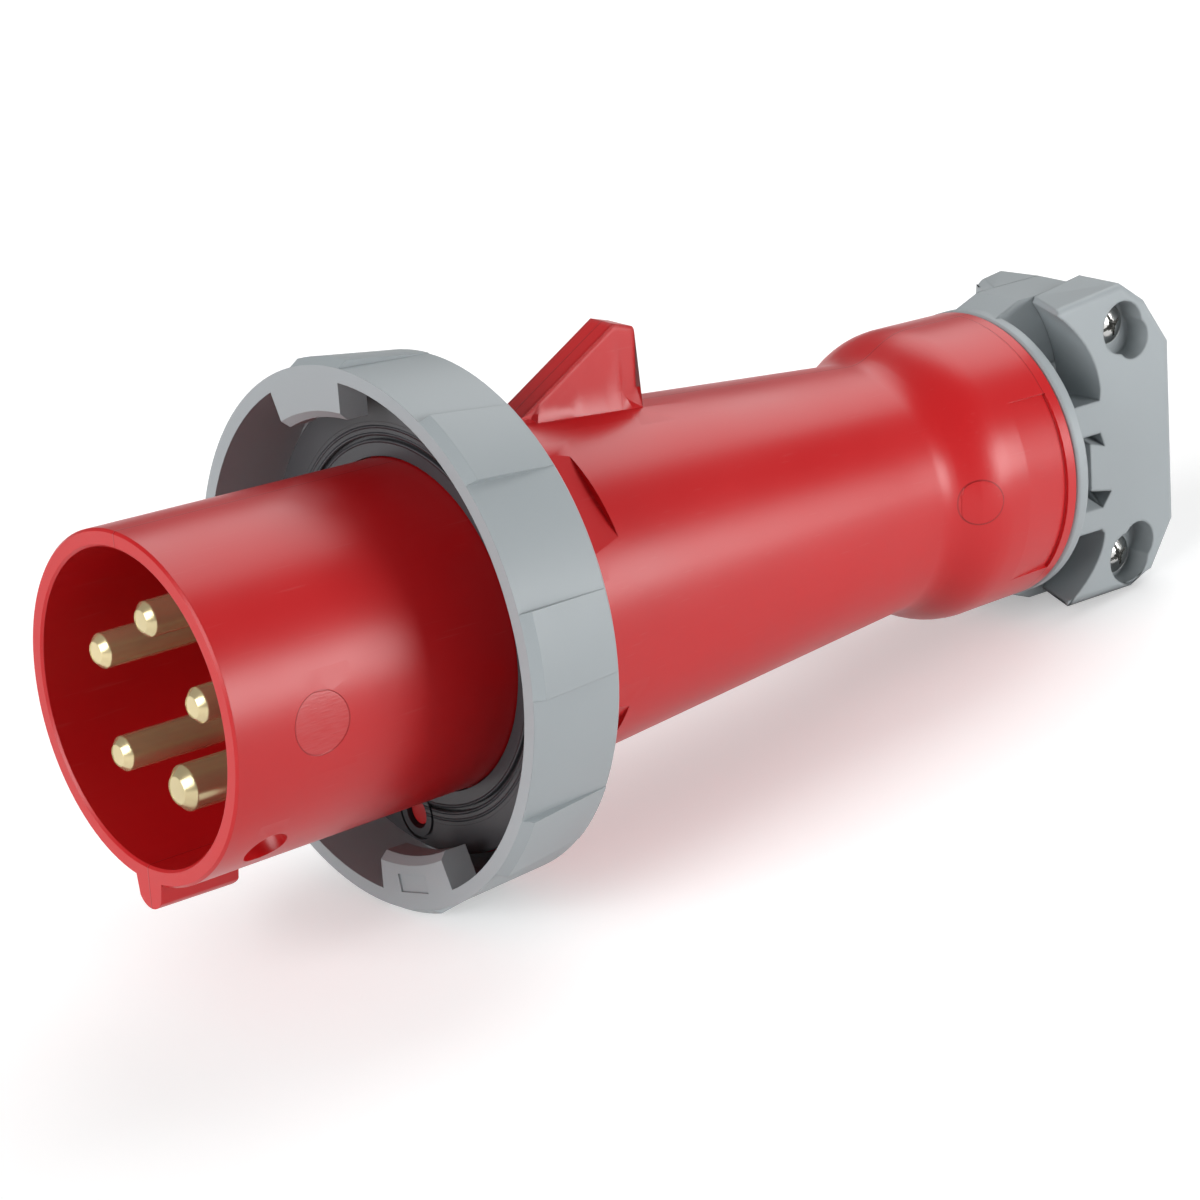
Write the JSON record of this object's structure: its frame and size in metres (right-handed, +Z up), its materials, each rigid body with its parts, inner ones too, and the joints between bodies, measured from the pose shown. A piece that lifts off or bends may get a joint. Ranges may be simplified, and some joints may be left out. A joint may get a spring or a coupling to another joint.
{
  "type": "industrial pin and sleeve plug",
  "caption": "Pin and sleeve power plug: round pins in a keyed sleeve, a bayonet locking ring, a tapered handle with a thumb fin and a screwed cable clamp.",
  "frame": {"origin": "centre of the sleeve's mouth, on the plug's axis", "axes": "+X along the plug's axis from the mouth to the cable end, +Z up through the handle's thumb fin, away from the key rib"},
  "size_m": [0.262, 0.1138, 0.1138],
  "materials": {
    "red_plastic": "glossy moulded",
    "red_plastic_inner": "glossy moulded",
    "grey_plastic": "satin moulded",
    "black_plastic": "satin moulded",
    "black_rubber": "dull moulded",
    "brass": "turned",
    "zinc_steel": "zinc plated"
  },
  "bodies": {
    "housing": {"front_housing": "red_plastic", "contact_carrier": "red_plastic_inner", "contact_retainer": "black_plastic", "retainer_screws": "zinc_steel", "pin_phase_1": "brass", "pin_phase_2": "brass", "pin_phase_3": "brass", "pin_neutral": "brass", "pin_earth": "brass", "terminal_screws": "zinc_steel", "terminal_barrier": "black_plastic", "flange_gasket": "black_rubber", "body_seal": "black_rubber", "rear_body": "red_plastic", "assembly_screws": "zinc_steel", "cable_grommet": "black_rubber", "slip_washer": "black_plastic", "clamp_collar": "grey_plastic", "far_jaw": "grey_plastic", "clamp_nuts": "zinc_steel"},
    "ring": {"lock_ring": "grey_plastic"},
    "jaw": {"near_jaw": "grey_plastic", "clamp_screws": "zinc_steel"}
  },
  "joints": [
    {"name": "ring_turn", "type": "hinge", "parent": "housing", "child": "ring", "pos_m": [0.075, 0, 0], "axis": [1, 0, 0], "range_deg": [0, 60]},
    {"name": "jaw_clamp", "type": "slide", "parent": "housing", "child": "jaw", "axis": [0, -1, 0], "range_m": [0, 0.004]}
  ]
}
